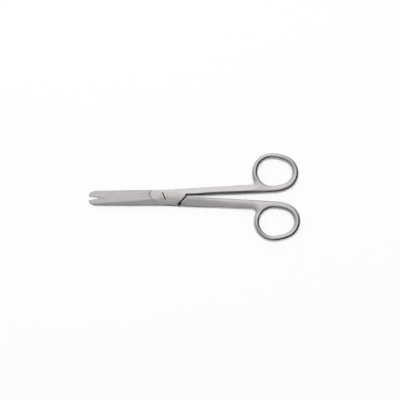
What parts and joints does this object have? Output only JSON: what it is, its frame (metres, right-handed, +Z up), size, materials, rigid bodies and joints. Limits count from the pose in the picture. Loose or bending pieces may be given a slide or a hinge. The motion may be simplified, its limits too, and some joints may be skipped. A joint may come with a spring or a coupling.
{
  "type": "dissecting scissors",
  "caption": "Straight dissecting scissors with blunt rounded tips, bevelled blades, a screwed lap joint and oval finger rings.",
  "frame": {"origin": "where the pivot axis meets the flat underside of the joint", "axes": "+X along the length towards the finger rings, +Y towards the upper half's ring, +Z up, out of the screw's slotted head"},
  "size_m": [0.15, 0.0622, 0.005],
  "materials": {
    "steel": "satin",
    "screw_steel": "satin"
  },
  "bodies": {
    "lower": {"lower_half": "steel", "pivot_screw": "screw_steel"},
    "upper": {"upper_half": "steel"}
  },
  "joints": [
    {"name": "pivot", "type": "hinge", "parent": "lower", "child": "upper", "pos_m": [0, 0, 0.0025], "axis": [0, 0, 1], "range_deg": [-3.6, 108]}
  ]
}
